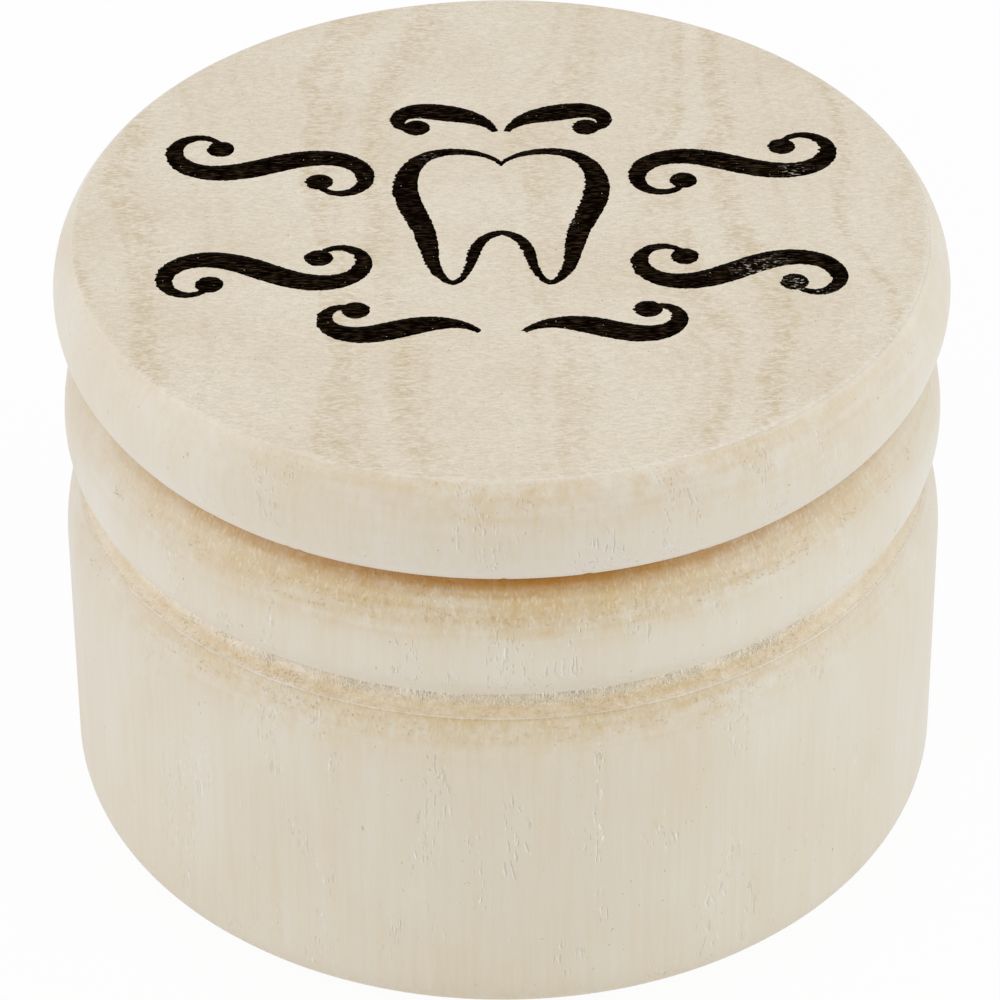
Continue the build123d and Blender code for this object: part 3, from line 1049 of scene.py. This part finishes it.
def fur(name, bands, seed, longest, thickest, clump, whiteness):
    """One piece of fur on the base's skin.

    Each band gives a first row, a last row, a count, and whether its fibres point up or down. A fibre's way is the
    grain's, up or down, plus a part of the surface's normal, plus chance, and it bends away from the surface.
    """
    point_parts, face_parts, values, offset = [], [], [], 0
    for k, (first_row, last_row, count, grain) in enumerate(bands):
        roots, normal, rng = picked_roots(first_row, last_row, count, seed + 10 * k, clump)
        chance = rng.normal(0, 0.45, roots.shape)
        ways = unit(np.array([0, 0, grain]) * 0.9 + normal * rng.uniform(0.2, 1.0, (len(roots), 1)) + chance)
        bends = normal * rng.uniform(-0.5, 0.4, (len(roots), 1)) + rng.normal(0, 0.4, roots.shape)
        lengths = longest * rng.uniform(0.25, 1, len(roots)) ** 1.6
        widths = thickest * rng.uniform(0.4, 1, len(roots))
        points, faces, share = slivers(roots - root_depth * normal, ways, bends, lengths, widths)
        pale = np.repeat(rng.uniform(-0.3, 0.3, len(roots)), len(share) // len(roots))
        point_parts.append(points)
        face_parts.append(faces + offset)
        values.append(np.clip(share * 0.5 + whiteness + pale, 0, 1))
        offset += len(points)
    points = np.concatenate(point_parts)
    radius = np.hypot(points[:, 0], points[:, 1])
    points[:, :2] *= np.minimum(1, (box_radius - root_depth) / radius)[:, None]
    piece = new_piece(name, points, np.concatenate(face_parts), torn_fibre, False, {"tip": np.concatenate(values)})
    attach(piece, "base")


# %% Fur in the groove and on the shoulders
flank_rows = stretch_rows(base_stretches, "flank")
bead_rows = stretch_rows(base_stretches, "bead")
shoulder_rows = stretch_rows(base_stretches, "shoulder")
crown_rows = stretch_rows(base_stretches, "bead_top")
fur("groove_fur", [
    (flank_rows[0] + 4, flank_rows[1], 5200, 1),
    (bead_rows[0], bead_rows[0] + 4, 3000, -1),
], seed=301, longest=0.34, thickest=0.06, clump=0.5, whiteness=0.95)
fur("shoulder_fur", [
    (crown_rows[0] + 11, crown_rows[1] - 9, 2400, 1),
    (shoulder_rows[0] + 8, shoulder_rows[1], 1700, 1),
    (flank_rows[0], flank_rows[1] - 2, 2000, 1),
], seed=401, longest=0.22, thickest=0.05, clump=0.6, whiteness=-0.15)

# %% [markdown]
# The studio. The box stands in soft light from everywhere, so most of it comes from a white sky. Three softboxes
# add a little from the front and both sides, the right one the strongest, as on the photograph's bright right
# shoulder. The level is plain: a colour renders about as it is written. A wide pale sheet lies a hair under the
# box, so that no two faces coincide. To the camera it is almost white, and it keeps a share of the soft shadow.

# %% Floor
floor_white = linear(247, 247, 247)
floor_veil = 0.94
floor_reach, floor_level = 2000.0, -0.02


def seen(field):
    """1 for the rays that make the picture: those from the camera, and those that a gloss or glass sends on."""
    rays = ("Is Camera Ray", "Is Glossy Ray", "Is Transmission Ray")
    camera_ray, glossy_ray, clear_ray = (field.node("LightPath", output=name) for name in rays)
    return (camera_ray + glossy_ray + clear_ray).kept()


def pale_floor():
    """A wide pale sheet that shows the box's soft shadow."""
    material, shader, place = new_material("studio_floor")
    shader.inputs["Base Color"].default_value = floor_white
    shader.inputs["Roughness"].default_value = 0.9
    shader.inputs["Specular IOR Level"].default_value = 0.0
    tree = material.node_tree
    white = place.node("Emission", {}, {"Color": (1, 1, 1, 1), "Strength": 1.0})
    both = place.node("MixShader", {}, {0: seen(place) * floor_veil, 1: Field(tree, shader.outputs[0]), 2: white})
    tree.links.new(both.socket, tree.nodes["Material Output"].inputs["Surface"])
    corners = np.array([(x * floor_reach, y * floor_reach, floor_level)
                        for x, y in ((-1, -1), (1, -1), (1, 1), (-1, 1))])
    sheet = new_piece("floor", corners, np.array([[0, 1, 2], [0, 2, 3]]), material)


pale_floor()

# %% Sky
sky_light = 0.76
world = bpy.data.worlds.new("studio")
world.use_nodes = True
world_field = Field(world.node_tree)
sky_strength = sky_light + seen(world_field) * (1 - sky_light)
sky = world_field.node("Background", {}, {"Color": (1, 1, 1, 1), "Strength": sky_strength})
world.node_tree.links.new(sky.socket, world.node_tree.nodes["World Output"].inputs["Surface"])
bpy.context.scene.world = world
print("sky of strength", sky_light, "on the box and 1 in the picture")

# %% Softboxes
box_middle = Vector((0, 0, 16))
softbox_size = 300


def softbox(name, place, power, colour):
    """A square lamp with a diffuser, aimed at the box's middle: its place in millimetres, its power in watts."""
    data = bpy.data.lights.new(name, "AREA")
    data.color = colour
    data.shape = "SQUARE"
    data.size = softbox_size * MM
    data.energy = power
    lamp = bpy.data.objects.new(name, data)
    lamp.location = Vector(place) * MM
    lamp.rotation_euler = (box_middle - Vector(place)).to_track_quat("-Z", "Y").to_euler()
    bpy.context.scene.collection.objects.link(lamp)


softbox("front_softbox", (-120, -500, 300), 0.35, (1, 1, 1))
softbox("left_softbox", (-560, -100, 150), 0.60, (0.97, 0.98, 1.0))
softbox("right_softbox", (560, -100, 150), 0.80, (0.90, 0.98, 1.0))
print("lamps", {lamp.name: round(lamp.energy, 2) for lamp in bpy.data.lights}, "watts")
